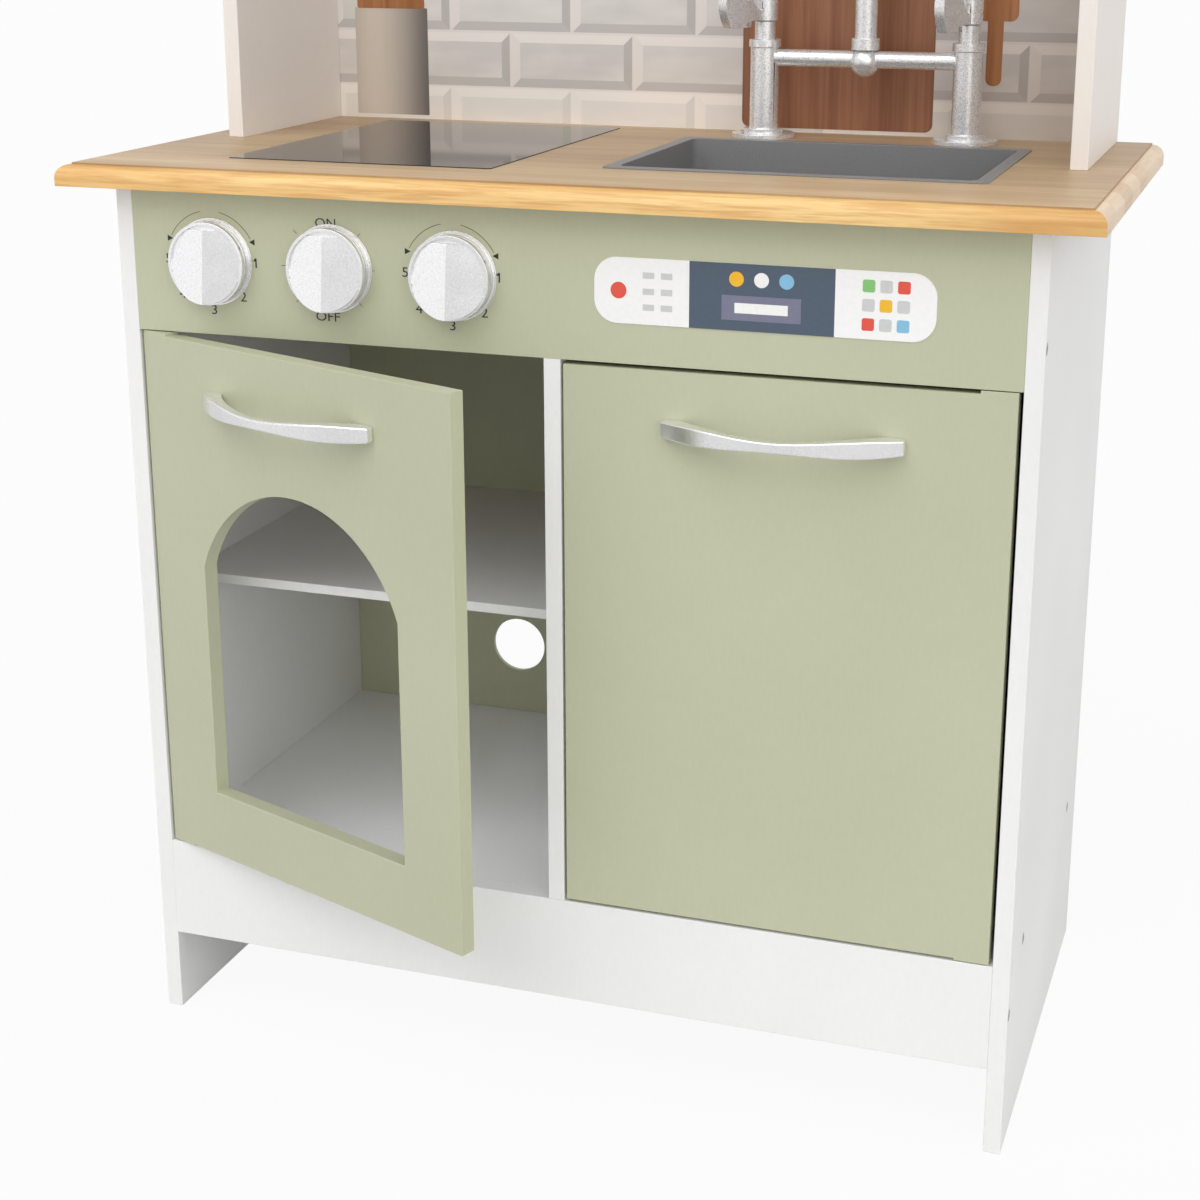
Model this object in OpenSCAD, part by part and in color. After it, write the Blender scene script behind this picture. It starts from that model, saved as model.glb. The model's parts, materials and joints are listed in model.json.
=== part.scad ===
// Toy kitchen unit: two-door cabinet with oven, worktop, hob, sink, bridge tap and hutch.
// Millimetres, +Z up, the fronts face -Y. Every piece is drawn with the cabinet's front face on
// y = 0 and then moved so that the origin is the middle of the whole unit's footprint.

/* [Cabinet] */
// Width over the two side panels
cab_w = 542; // [500:1:620]
// Depth from the front face to the rear edge of the side panels
cab_d = 292; // [280:1:330]
// Height of the side panels, which is the underside of the worktop
side_h = 533.8; // [500:0.1:600]
// Thickness of the painted boards
board_t = 10; // [9:0.5:12]
// Open height under the plinth board
plinth_gap = 53.3; // [30:0.1:80]
// Height of the plinth board
plinth_h = 64.7; // [50:0.1:80]
// Height of the control panel
panel_h = 85.2; // [78:0.1:100]
// Thickness of the two back panels
back_t = 3; // [2.5:0.1:4]
// Distance from the back panels' rear face to the cabinet's rear edge
back_inset = 7.5; // [4:0.5:12]
// Depth of the grooves that hold the back panels
groove_d = 4; // [2:0.5:6]

/* [Oven compartment] */
// Thickness of the shelf
shelf_t = 6; // [5:0.5:9]
// Height of the shelf's top above the floor panel
shelf_h = 168.5; // [120:0.5:220]
// Distance of the shelf's front edge behind the cabinet's front
shelf_setback = 39; // [20:1:60]
// Radius of the shelf pins
shelf_pin_r = 2.5; // [2:0.1:3]
// Diameter of the round hole in the back panel
vent_d = 39.4; // [30:0.1:50]
// Height of that hole's centre above the floor panel
vent_h = 51; // [40:0.5:70]

/* [Worktop] */
// Thickness of the worktop
top_t = 13.2; // [12:0.1:16]
// Overhang of the worktop past each side panel
top_side = 29; // [15:0.5:40]
// Overhang of the worktop in front of the cabinet
top_front = 18.5; // [10:0.5:30]
// Radius of the moulded edge
edge_r = 7; // [4:0.5:8]
// Height of the small step above the moulded edge
edge_step = 1; // [0.5:0.1:1.5]

/* [Hob] */
// Width of the hob plate
hob_w = 166.5; // [140:0.5:180]
// Depth of the hob plate
hob_d = 230; // [190:1:235]
// Gap between the hob plate and the splashback
hob_rear_gap = 15; // [8:0.5:25]
// Thickness of the hob plate
hob_t = 2; // [1.5:0.1:3]
// Height that the hob plate stands above the worktop
hob_proud = 0.5; // [0.2:0.1:1]

/* [Sink] */
// Gap between the divider and the sink's bowl
sink_left_gap = 8.9; // [6:0.1:16]
// Gap between the sink's bowl and the right side panel
sink_right_gap = 39.4; // [36:0.1:50]
// Depth from front to rear of the sink over its rim
sink_d = 165; // [140:1:165]
// Gap between the sink's rim and the tap's flanges
sink_gap = 1.5; // [0.8:0.1:6]
// Width of the sink's rim
rim_w = 7.5; // [5:0.5:10]
// Thickness of the sink's rim
rim_t = 0.8; // [0.6:0.1:1.5]
// Thickness of the bowl's walls
bowl_wall = 1.6; // [1.2:0.1:2.5]
// Depth of the bowl below the rim's top
bowl_depth = 60; // [40:1:75]
// Radius of the bowl's upright corners
bowl_r = 6; // [4:0.5:12]

/* [Doors] */
// Play of a door's turning corner in front of the side panel
hinge_play = 0.33; // [0.3:0.01:0.8]
// Gap between a door's free edge and the divider
free_gap = 1.5; // [1:0.1:2.5]
// Gap between a door's top and the control panel
door_gap_top = 2.4; // [1.5:0.1:3.5]
// Gap between a door's bottom and the plinth
door_gap_bottom = 1.7; // [1:0.1:3]
// Running gap above and below the raised pads at the hinges
pad_gap = 0.6; // [0.4:0.1:0.9]
// Length of those pads along the door
pad_w = 20; // [14:1:30]
// Distance of the pivots from the door's hinge edge
pivot_inset = 5; // [4.5:0.1:7]
// Angle at which the oven door stands open at rest
ajar = 20.8; // [0:0.1:40]
// Width of the oven window
window_w = 163.4; // [120:0.1:180]
// Height of the window's sill above the floor panel
sill_h = 44.4; // [30:0.1:70]
// Height of the window's upright sides
window_side_h = 146.7; // [110:0.1:160]
// Rise of the window's arch
arch_rise = 56.5; // [30:0.5:60]
// Radius of the pivot pins
pin_r = 2; // [1.5:0.1:2.4]
// Length of a pivot pin inside the door
pin_in_door = 20; // [12:1:30]
// Outer radius of the pivot bushes
bush_r = 3.5; // [3:0.1:4]
// Length of the pivot bushes
bush_l = 9; // [6:0.5:12]

/* [Handles] */
// Length of a handle
handle_l = 136; // [110:1:150]
// How far a handle stands out from its door
handle_proud = 27; // [22:0.5:32]
// Thickness of a handle at its middle
handle_t = 5; // [4:0.1:7]
// How far a handle's outer face stands out at its ends
handle_end = 5; // [3:0.1:8]
// Length of each foot on the door
foot_l = 11; // [9:0.5:14]
// Height of a handle at its middle
handle_h_mid = 5.8; // [5:0.1:7]
// Height of a handle at its widest
handle_h_max = 10; // [8:0.1:12]
// Distance of a handle's centre line below the door's top
handle_drop = 31.7; // [25:0.1:45]

/* [Knobs] */
// Distance between the knobs
knob_pitch = 75.8; // [62:0.1:80]
// Radius of the bezels on the panel
bezel_r = 25.5; // [24:0.1:28]
// Thickness of a bezel's disc
bezel_t = 3; // [2:0.1:4]
// Radius of the knob caps
cap_r = 24.1; // [21:0.1:24.8]
// Thickness of a cap with its groove
cap_t = 7.2; // [5:0.1:9]
// Radius of the groove behind a cap
cap_groove_r = 22.6; // [16:0.1:23.4]
// Height of the grip ridge above the cap's face, at its middle
ridge_h = 4.5; // [3.5:0.1:6]
// Half of the width over which the ridge's two slopes fall to the face
ridge_w = 24; // [22:0.5:30]
// Distance of the ridge's flat upper end above the knob's axis
ridge_up = 19.3; // [14:0.1:20]
// Lean of the ridge, which stands out further at its foot
ridge_tilt = 6.2; // [3:0.1:8]
// Height of the knobs' axes above the control panel's lower edge
knob_up = 43.2; // [38:0.1:46]
// Radius of a knob's stem
stem_r = 4; // [3.5:0.1:5]
// Outer radius of the sleeve round the stem
sleeve_r = 6; // [5.8:0.1:8]

/* [Control label] */
// Width of the printed label
label_w = 188.6; // [150:0.2:200]
// Height of the printed label
label_h = 36.4; // [30:0.2:44]
// Thickness of the printed label
label_t = 0.6; // [0.3:0.1:1]
// Height of the label's middle above the control panel's lower edge
label_up = 40.9; // [36:0.1:48]
// Radius of the printed label's corners
label_r = 13; // [6:0.5:16]
// How far the label's middle stands left of the right compartment's middle
label_shift = 13.3; // [8:0.1:20]

/* [Tap] */
// Distance between the pillars
pillar_pitch = 129.4; // [110:0.1:140]
// Distance of the tap's axes in front of the splashback
tap_rear_gap = 33.5; // [30:0.5:36]
// Radius of the pillars
pillar_r = 9; // [8:0.1:10]
// Height of the pillars' wide part above the worktop
pillar_h = 56.5; // [54:0.5:70]
// Radius of the flanges on the worktop
flange_r = 20; // [16:0.1:20.5]
// Radius of the bar between the pillars
bridge_r = 5.4; // [4:0.1:6]
// Height of that bar above the worktop
bridge_h = 50; // [46:0.5:51]
// Radius of the ball at the bar's middle
ball_r = 9.5; // [8.5:0.1:11]
// Radius of the spout's tube
spout_r = 7; // [6.5:0.1:8]
// Radius of the spout's bend, to the middle of the tube
bend_r = 50; // [40:1:60]
// Height of the bend's centre above the worktop
bend_h = 143; // [130:1:170]
// Length of the straight end of the spout
outlet_l = 30; // [20:1:36]
// Radius of a lever's hub
hub_r = 7.8; // [7:0.1:9]
// Reach of a lever from its axis
lever_l = 41.5; // [32:0.5:43]
// Thickness of a lever's blade
blade_t = 6.7; // [6:0.1:9]
// Direction in which the left lever points, from +X
left_lever_angle = 244.5; // [225:0.5:260]
// Direction in which the right lever points, from +X
right_lever_angle = 253; // [235:0.5:265]

/* [Hutch] */
// Height of the hutch above the worktop
hutch_h = 395; // [300:1:450]
// Depth of the hutch's sides
hutch_d = 154; // [120:1:170]

/* [Fits] */
// Radial play of parts that turn on each other
run_fit = 0.05; // [0.02:0.01:0.1]
// Radial play of pins, dowels and screws in their holes
pin_fit = 0.05; // [0.03:0.01:0.1]
// Play of boards in grooves and plates in recesses
board_fit = 0.2; // [0.1:0.05:0.4]
// Gap between faces that pass each other
turn_gap = 0.4; // [0.3:0.05:0.6]

/* [Hidden] */
$fn = 64;

// Overshoot of a cutting shape past the face that it cuts
cut = 1;

// Colours
white = [0.93, 0.93, 0.92];
sage = [0.71, 0.73, 0.59];
oak = [0.87, 0.70, 0.47];
steel = [0.72, 0.72, 0.73];
silver = [0.82, 0.82, 0.82];

// Cabinet
half_w = cab_w / 2;
inner_x = half_w - board_t;
floor_top = plinth_gap + plinth_h;
floor_bottom = floor_top - board_t;
panel_bottom = side_h - panel_h;
back_y = cab_d - back_inset - back_t;
inside_back = back_y - board_fit;
div_x = board_t / 2;
top_z = side_h + top_t;
back_half_w = inner_x + groove_d - 2 * board_fit;
shelf_top = floor_top + shelf_h;
shelf_bottom = shelf_top - shelf_t;
shelf_pin_margin = [22, 32];
shelf_pin_ys = [shelf_setback + shelf_pin_margin[0], inside_back - shelf_pin_margin[1]];
shelf_pin_out = 6;
shelf_pin_in = 4;
left_mid_x = -(inner_x + div_x) / 2;
right_mid_x = -left_mid_x;

// Doors, drawn closed; the gap at the hinges lets the door's inner corners pass
hinge_gap = sqrt(pow(pivot_inset, 2) + pow(board_t / 2, 2)) - pivot_inset + hinge_play;
door_w = inner_x - div_x - hinge_gap - free_gap;
door_bottom = floor_top + door_gap_bottom;
door_top = panel_bottom - door_gap_top;
pad_bottom = floor_top + pad_gap;
pad_top = panel_bottom - pad_gap;
pivot_x = inner_x - hinge_gap - pivot_inset;
pivot_y = board_t / 2;
door_mid_x = inner_x - hinge_gap - door_w / 2;
free_x = div_x + free_gap;
arch_r = (pow(window_w / 2, 2) + pow(arch_rise, 2)) / (2 * arch_rise);
sill_z = floor_top + sill_h;
spring_z = sill_z + window_side_h;
pin_in_bush = bush_l - 1;

// The foremost point is the ajar door's free corner, its handle or the other handle
corner_reach = pivot_y - (door_w - pivot_inset) * sin(ajar) - board_t / 2 * cos(ajar);
handle_reach = pivot_y - (door_w / 2 - pivot_inset) * sin(ajar) - (board_t / 2 + handle_proud) * cos(ajar);
front_y = -(cab_d + min(corner_reach, handle_reach, -handle_proud, -top_front)) / 2;

// Strike plates and catches near the doors' free edges
strike_w = 9;
strike_h = 26;
strike_t = 1;
strike_inset = 1;
strike_drop = 30;
strike_z = door_top - strike_drop;
catch_w = 4;
catch_d = 17;
catch_gap = 0.5;

// Screws: shank radius, head radius, head height and depth of the cross slot
screw_r = 1.75;
head_r = 3.5;
head_h = 2.2;
slot_w = 0.9;
slot_l = 4;
slot_depth = 1.2;
side_screw_l = 36;
panel_screw_up = 22.5;
plinth_screw_down = 31;
floor_screw_margin = [50, 46];
floor_screw_ys = [floor_screw_margin[0], cab_d - floor_screw_margin[1]];
floor_mid_z = floor_top - board_t / 2;
divider_screw_l = 30;
divider_screw_margin = [60, 62];
divider_screw_ys = [divider_screw_margin[0], cab_d - divider_screw_margin[1]];
small_screw_l = 16;
small_screw_r = 1.25;
small_head_r = 2.6;
small_head_h = 1.6;
hole_end = 0.5;
back_screw_edge = 60;
back_screw_xs = [-inner_x + back_screw_edge, div_x + back_screw_edge / 2, inner_x - back_screw_edge];

// Corner blocks under the worktop
block_l = 18;
block_t = 3;
block_w = 14;
block_margin = [34, 56];
block_ys = [block_margin[0], cab_d - block_margin[1]];
block_screw_l = 9;
block_screw_in = 13;

// Dowels
dowel_r = 3;
dowel_down = 12;
dowel_up = 20;
hutch_dowel_margin = [30, 32];
hutch_dowel_ys = [cab_d - hutch_d + hutch_dowel_margin[0], cab_d - hutch_dowel_margin[1]];
dowel_hole_end = 0.2;
front_dowel_y = 70;
front_dowel_up = 7;

// Hob and sink
hob_x = left_mid_x;
hob_mid_y = back_y - hob_rear_gap - hob_d / 2;
hob_bottom = top_z + hob_proud - hob_t;
hob_corner_r = 2;
bowl_w = inner_x - div_x - sink_left_gap - sink_right_gap - 2 * bowl_wall;
sink_w = bowl_w + 2 * rim_w;
sink_x = div_x + sink_left_gap + bowl_wall + bowl_w / 2;
tap_y = back_y - tap_rear_gap;
sink_mid_y = tap_y - flange_r - sink_gap - sink_d / 2;
sink_hole_play = 0.4;
bowl_d = sink_d - 2 * rim_w;
rim_corner_r = 3;
rim_top = top_z + rim_t;

// Handles
handle_z = door_top - handle_drop;
handle_half = handle_l / 2;
outer_sag = handle_proud - handle_end;
outer_bow_r = (pow(handle_half, 2) + pow(outer_sag, 2)) / (2 * outer_sag);
inner_half = handle_half - foot_l;
inner_sag = handle_proud - handle_t;
inner_bow_r = (pow(inner_half, 2) + pow(inner_sag, 2)) / (2 * inner_sag);
handle_screw_x = handle_half - foot_l / 2;
handle_screw_in = 5;
handle_bulge_at = 0.72;
handle_steps = 20;

// Knobs
knob_z = panel_bottom + knob_up;
knob_mid_x = left_mid_x;
bezel_edge = 1.2;
cap_back = bezel_t + turn_gap;
cap_front = cap_back + cap_t;
cap_disc_t = 3.2;
cap_face_drop = 1.2;
cap_lip = 2;
ridge_r = cap_r - cap_lip * 0.6;
ridge_sink = 4;
stem_end = board_t + turn_gap;
washer_r = sleeve_r + 2;
washer_t = 1.2;
knob_screw_in = 8;

// Control label
label_x = right_mid_x - label_shift;
label_z = panel_bottom + label_up;

// Tap
tap_x = sink_x;
pillar_xs = [tap_x - pillar_pitch / 2, tap_x + pillar_pitch / 2];
flange_t = 3;
flange_up_r = pillar_r + 3.5;
flange_up_t = 3;
collar_r = pillar_r + 1;
collar_h = 4.8;
neck_r = pillar_r - 2.5;
neck_h = 11.2;
spindle_r = 4;
hub_h = 17;
spindle_into_cap = 2.5;
cap_disc_r = hub_r + 0.8;
tap_cap_h = 5;
shank_r = 4;
shank_under_top = 14;
shank_l = top_t + shank_under_top;
shank_play = 0.3;
nut_r = 8;
nut_h = 6;
socket_d = 4;
bridge_z = top_z + bridge_h;
pillar_top = top_z + pillar_h;
neck_bottom = pillar_top + collar_h;
neck_top = neck_bottom + neck_h;
hub_bottom = neck_top + turn_gap;
hub_top = hub_bottom + hub_h;
tap_cap_bottom = hub_top + turn_gap;
ball_drop = 1.3;
ball_z = bridge_z - ball_drop;
ball_flat_up = 0.2;
ball_flat_z = bridge_z + bridge_r + ball_flat_up;
spout_bottom = ball_flat_z + turn_gap;
spout_collar_r = spout_r + 1.9;
spout_collar_h = 7.2;
post_r = spout_r - 2.5;
post_l = 32;
post_top = ball_flat_z + post_l;
clip_t = 1.8;
clip_z = post_top - 4;
clip_groove_r = post_r - 1;
clip_r = post_r + 1.2;
cavity_r = clip_r + 0.3;
bend_z = top_z + bend_h;
nozzle_r = spout_r + 1.2;
nozzle_h = 8;
nozzle_bore_r = spout_r - 2;
nozzle_bore_l = 16;

// Lever blade, as distances from the hub's axis and heights above the hub's underside
lever_angles = [left_lever_angle, right_lever_angle];
neck_z0 = 0.2;
neck_z1 = 6.4;
blade_low = -3.6;
blade_high = 29;
blade_inner = 17;
blade_end_r = 27;
blade_scoop_r = 12;
blade_heel_angle = 24;
blade_heel_w = 3;

// Hutch
hutch_front = cab_d - hutch_d;
hutch_top = top_z + hutch_h;
top_board_margin = [28, 44];
top_board_screw_ys = [hutch_front + top_board_margin[0], cab_d - top_board_margin[1]];

// Moves a piece from the cabinet's own place to the unit's frame
module placed() translate([0, front_y, 0]) children();

// Box between two corners
module block(low, high) translate(low) cube(high - low);

// Upright cylinder from height z0 to z1
module post(x, y, r, z0, z1) translate([x, y, z0]) cylinder(r = r, h = z1 - z0);

// Cylinder along Y from y0 to y1
module rod_y(x, z, r, y0, y1) translate([x, y1, z]) rotate([90, 0, 0]) cylinder(r = r, h = y1 - y0);

// Cylinder along X from x0 to x1
module rod_x(y, z, r, x0, x1) translate([x0, y, z]) rotate([0, 90, 0]) cylinder(r = r, h = x1 - x0);

// Flat outline with rounded corners
module rounded(w, d, r) {
    square([w - 2 * r, d], center = true);
    square([w, d - 2 * r], center = true);
    for (sx = [-1, 1], sy = [-1, 1]) translate([sx * (w / 2 - r), sy * (d / 2 - r)]) circle(r);
}

// Outline in X and Z, given thickness along Y from y0
module upright(y0, t) translate([0, y0 + t, 0]) rotate([90, 0, 0]) linear_extrude(t) children();

// Screw along +Z: its head starts at z = 0, with a cross slot
module screw(r, l, hr, hh) difference() {
    union() {
        cylinder(r = hr, h = hh);
        cylinder(r = r, h = l);
    }
    for (turn = [0, 90]) rotate([0, 0, turn])
        translate([-slot_l / 2 * hr / head_r, -slot_w / 2, -cut])
            cube([slot_l * hr / head_r, slot_w, cut + slot_depth * hh / head_h]);
}

// Hole for a screw's shank with its play, open at z = 0
module shank_hole(r, l) translate([0, 0, -cut]) cylinder(r = r + pin_fit, h = l + cut + hole_end);

// Hole for a sunk screw: head and shank with their play, open at z = 0
module screw_hole(r, l, hr, hh) {
    translate([0, 0, -cut]) cylinder(r = hr + pin_fit, h = hh + cut);
    shank_hole(r, l);
}

// Places of the screws through a side panel, as [y, z]
side_screws = [
    [board_t / 2, panel_bottom + panel_screw_up],
    [board_t / 2, floor_top - plinth_screw_down],
    [floor_screw_ys[0], floor_mid_z],
    [floor_screw_ys[1], floor_mid_z]];

// Puts its children at each side screw, with +Z pointing into the cabinet; side is -1 or 1
module at_side_screws(side) for (p = side_screws)
    translate([side * half_w, p[0], p[1]]) rotate([0, -side * 90, 0]) children();

module side_screw_holes() for (side = [-1, 1])
    at_side_screws(side) screw_hole(screw_r, side_screw_l, head_r, head_h);

// Puts its children, drawn for the right side, at the corner blocks' places
module at_blocks() for (side = [-1, 1], y = block_ys)
    translate([side * inner_x, y, side_h]) mirror([side < 0 ? 1 : 0, 0, 0]) children();

// Screw lines of a block, from its faces: one into the side panel, one into the worktop
module at_block_screws() at_blocks() {
    translate([-block_t, block_w / 2, -block_screw_in]) rotate([0, 90, 0]) children();
    translate([-block_screw_in, block_w / 2, -block_t]) children();
}

module block_screw_holes() at_block_screws() shank_hole(small_screw_r, block_screw_l);

// Spare length at the end of a dowel's hole
function dowel_end(play) = play > 0 ? dowel_hole_end : 0;

// Through dowels between cabinet, worktop and hutch
module hutch_dowel_set(play) for (side = [-1, 1], y = hutch_dowel_ys)
    post(side * (half_w - board_t / 2), y, dowel_r + play,
        side_h - dowel_down - dowel_end(play), top_z + dowel_up + dowel_end(play));

module worktop_dowel_set(play) for (side = [-1, 1])
    post(side * (half_w - board_t / 2), front_dowel_y, dowel_r + play,
        side_h - dowel_down - dowel_end(play), side_h + front_dowel_up + dowel_end(play));

// Groove for a back panel in the inner face of a side
module back_groove(side, z0, z1) {
    xs = [side * (inner_x - cut), side * (inner_x + groove_d)];
    block([min(xs), back_y - board_fit, z0], [max(xs), back_y + back_t + board_fit, z1]);
}

// Board of the thickness between the inner and outer faces of a side
module side_board(side, y0, y1, z0, z1) {
    xs = [side * inner_x, side * half_w];
    block([min(xs), y0, z0], [max(xs), y1, z1]);
}

module side_panel(side) color(white) placed() difference() {
    side_board(side, 0, cab_d, 0, side_h);
    back_groove(side, floor_bottom - board_fit, side_h + cut);
    side_screw_holes();
    block_screw_holes();
    hutch_dowel_set(pin_fit);
    worktop_dowel_set(pin_fit);
    if (side < 0) shelf_pin_set(pin_fit);
}

module left_side_panel() side_panel(-1);
module right_side_panel() side_panel(1);

module centre_divider() color(white) placed() difference() {
    block([-div_x, 0, floor_top], [div_x, inside_back, side_h]);
    block([-div_x - cut, -cut, panel_bottom], [div_x + cut, board_t, side_h + cut]);
    shelf_pin_set(pin_fit);
    divider_screw_holes();
}

module divider_places() for (y = divider_screw_ys) translate([0, y, floor_bottom]) children();
module divider_screw_holes() divider_places()
    screw_hole(screw_r, divider_screw_l, head_r, head_h);

module floor_panel() color(white) placed() difference() {
    block([-inner_x, board_t, floor_bottom], [inner_x, inside_back, floor_top]);
    side_screw_holes();
    divider_screw_holes();
    back_screw_holes();
}

module plinth() color(white) placed() difference() {
    block([-inner_x, 0, plinth_gap], [inner_x, board_t, floor_top]);
    side_screw_holes();
    bush_set(pin_fit);
}

module cabinet_back_panel() color(sage) placed() difference() {
    block([-back_half_w, back_y, floor_bottom], [back_half_w, back_y + back_t, side_h]);
    rod_y(left_mid_x, floor_top + vent_h, vent_d / 2, back_y - cut, back_y + back_t + cut);
    back_screw_holes();
}

module oven_shelf() color(white) placed()
    block([-inner_x, shelf_setback, shelf_bottom], [-div_x, inside_back, shelf_top]);

// Pins under the shelf, in the side panel and in the divider
module shelf_pin_set(play) for (y = shelf_pin_ys) {
    rod_x(y, shelf_bottom - shelf_pin_r, shelf_pin_r + play,
        -inner_x - shelf_pin_out - play, -inner_x + shelf_pin_in);
    rod_x(y, shelf_bottom - shelf_pin_r, shelf_pin_r + play,
        -div_x - shelf_pin_in, -div_x + shelf_pin_out + play);
}

module shelf_pins() color(steel) placed() shelf_pin_set(0);

// Axes of the three knobs
function knob_x(i) = knob_mid_x + i * knob_pitch;

module control_panel() color(sage) placed() difference() {
    block([-inner_x, 0, panel_bottom], [inner_x, board_t, side_h]);
    for (i = [-1:1]) rod_y(knob_x(i), knob_z, sleeve_r + pin_fit, -cut, board_t + cut);
    side_screw_holes();
    bush_set(pin_fit);
}

module control_label() color(white) placed()
    upright(-label_t, label_t) translate([label_x, label_z]) rounded(label_w, label_h, label_r);

// Moulded outline of the worktop across its width or depth
module edge_outline(w) {
    translate([-w / 2, 0]) square([w, top_t - edge_step - edge_r]);
    translate([-w / 2 + edge_r, 0]) square([w - 2 * edge_r, top_t - edge_step]);
    translate([-w / 2 + edge_r + edge_step / 2, 0]) square([w - 2 * edge_r - edge_step, top_t]);
    for (side = [-1, 1])
        translate([side * (w / 2 - edge_r), top_t - edge_step - edge_r]) circle(edge_r);
}

module worktop_body() {
    w = cab_w + 2 * top_side;
    d = 2 * (cab_d + top_front);
    translate([0, 0, side_h]) intersection() {
        block([-w / 2, -top_front, 0], [w / 2, cab_d, top_t]);
        translate([0, cab_d + cut, 0]) rotate([90, 0, 0])
            linear_extrude(cab_d + top_front + 2 * cut) edge_outline(w);
        translate([-w / 2 - cut, cab_d, 0]) rotate([90, 0, 90])
            linear_extrude(w + 2 * cut) edge_outline(d);
    }
}

module worktop() color(oak) placed() difference() {
    worktop_body();
    translate([hob_x, hob_mid_y, hob_bottom])
        linear_extrude(hob_t + cut) rounded(hob_w + 2 * board_fit, hob_d + 2 * board_fit, hob_corner_r);
    translate([sink_x, sink_mid_y, side_h - cut]) linear_extrude(top_t + 2 * cut)
        bowl_outline(bowl_wall + sink_hole_play);
    for (x = pillar_xs) post(x, tap_y, shank_r + shank_play, side_h - cut, top_z + cut);
    hutch_dowel_set(pin_fit);
    worktop_dowel_set(pin_fit);
    block_screw_holes();
}

module hob_plate() color([0.15, 0.15, 0.16]) placed()
    translate([hob_x, hob_mid_y, hob_bottom])
        linear_extrude(hob_t) rounded(hob_w, hob_d, hob_corner_r);

// Outline of the bowl's inside, grown by a margin
module bowl_outline(grow)
    rounded(bowl_w + 2 * grow, bowl_d + 2 * grow, bowl_r + grow);

module sink_basin() color([0.42, 0.43, 0.43]) placed() translate([sink_x, sink_mid_y, 0]) difference() {
    union() {
        translate([0, 0, top_z]) linear_extrude(rim_t) rounded(sink_w, sink_d, rim_corner_r);
        translate([0, 0, rim_top - bowl_depth - bowl_wall])
            linear_extrude(bowl_depth + bowl_wall - rim_t / 2) bowl_outline(bowl_wall);
    }
    translate([0, 0, rim_top - bowl_depth]) linear_extrude(bowl_depth + cut) bowl_outline(0);
}

module hutch_panel(side) color(white) placed() difference() {
    side_board(side, hutch_front, cab_d, top_z, hutch_top);
    back_groove(side, top_z - cut, hutch_top + cut);
    hutch_dowel_set(pin_fit);
    top_board_places() screw_hole(screw_r, side_screw_l, head_r, head_h);
}

module hutch_left_panel() hutch_panel(-1);
module hutch_right_panel() hutch_panel(1);

module hutch_back_panel() color([0.80, 0.77, 0.74]) placed() difference() {
    block([-back_half_w, back_y, top_z], [back_half_w, back_y + back_t, hutch_top]);
    back_screw_holes();
}

module hutch_top_board() color(white) placed() difference() {
    block([-inner_x, hutch_front, hutch_top - board_t], [inner_x, inside_back, hutch_top]);
    top_board_places() screw_hole(screw_r, side_screw_l, head_r, head_h);
    back_screw_holes();
}

// Screws through the hutch's sides into its top board
module top_board_places() for (side = [-1, 1], y = top_board_screw_ys)
    translate([side * half_w, y, hutch_top - board_t / 2]) rotate([0, -side * 90, 0]) children();

module top_board_screws() color(steel) placed()
    top_board_places() screw(screw_r, side_screw_l, head_r, head_h);

module side_panel_screws() color(steel) placed() for (side = [-1, 1])
    at_side_screws(side) screw(screw_r, side_screw_l, head_r, head_h);

module divider_screws() color(steel) placed()
    divider_places() screw(screw_r, divider_screw_l, head_r, head_h);

// Screws through the back panels into the floor panel and the top board
module back_places() for (x = back_screw_xs, z = [floor_mid_z, hutch_top - board_t / 2])
    translate([x, back_y + back_t + small_head_h, z]) rotate([90, 0, 0]) children();

module back_screw_holes() back_places() shank_hole(small_screw_r, small_screw_l);

module back_panel_screws() color(steel) placed()
    back_places() screw(small_screw_r, small_screw_l, small_head_r, small_head_h);

module corner_blocks() color([0.9, 0.9, 0.88]) placed() difference() {
    at_blocks() {
        translate([-block_t, 0, -block_l]) cube([block_t, block_w, block_l]);
        translate([-block_l, 0, -block_t]) cube([block_l, block_w, block_t]);
    }
    block_screw_holes();
}

module corner_block_screws() color(steel) placed() at_block_screws()
    translate([0, 0, -small_head_h])
        screw(small_screw_r, block_screw_l + small_head_h, small_head_r, small_head_h);

module hutch_dowels() color(oak) placed() hutch_dowel_set(0);
module worktop_dowels() color(oak) placed() worktop_dowel_set(0);

// Bushes for the pivot pins, in the control panel and in the plinth
module bush_set(play) for (side = [-1, 1]) {
    post(side * pivot_x, pivot_y, bush_r + play, panel_bottom - play, panel_bottom + bush_l + play);
    post(side * pivot_x, pivot_y, bush_r + play, floor_top - bush_l - play, floor_top + play);
}

module door_bushes() color([0.85, 0.85, 0.83]) placed() difference() {
    bush_set(0);
    for (side = [-1, 1]) {
        post(side * pivot_x, pivot_y, pin_r + run_fit, panel_bottom - cut, panel_bottom + bush_l + cut);
        post(side * pivot_x, pivot_y, pin_r + run_fit, floor_top - bush_l - cut, floor_top + cut);
    }
}

// A piece of the oven door, drawn closed and then opened to its rest angle
module oven_swing() placed() translate([-pivot_x, pivot_y, 0]) rotate([0, 0, -ajar])
    translate([pivot_x, -pivot_y, 0]) children();

// Right door as closed: a board with a raised pad at the top and bottom of its hinge side
module door_board() difference() {
    union() {
        block([free_x, 0, door_bottom], [free_x + door_w, board_t, door_top]);
        block([free_x + door_w - pad_w, 0, pad_bottom], [free_x + door_w, board_t, pad_top]);
    }
    pin_pair(pin_fit);
    handle_screw_places() shank_hole(screw_r, board_t + handle_screw_in);
    strike_plate(strike_t + cut);
}

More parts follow.
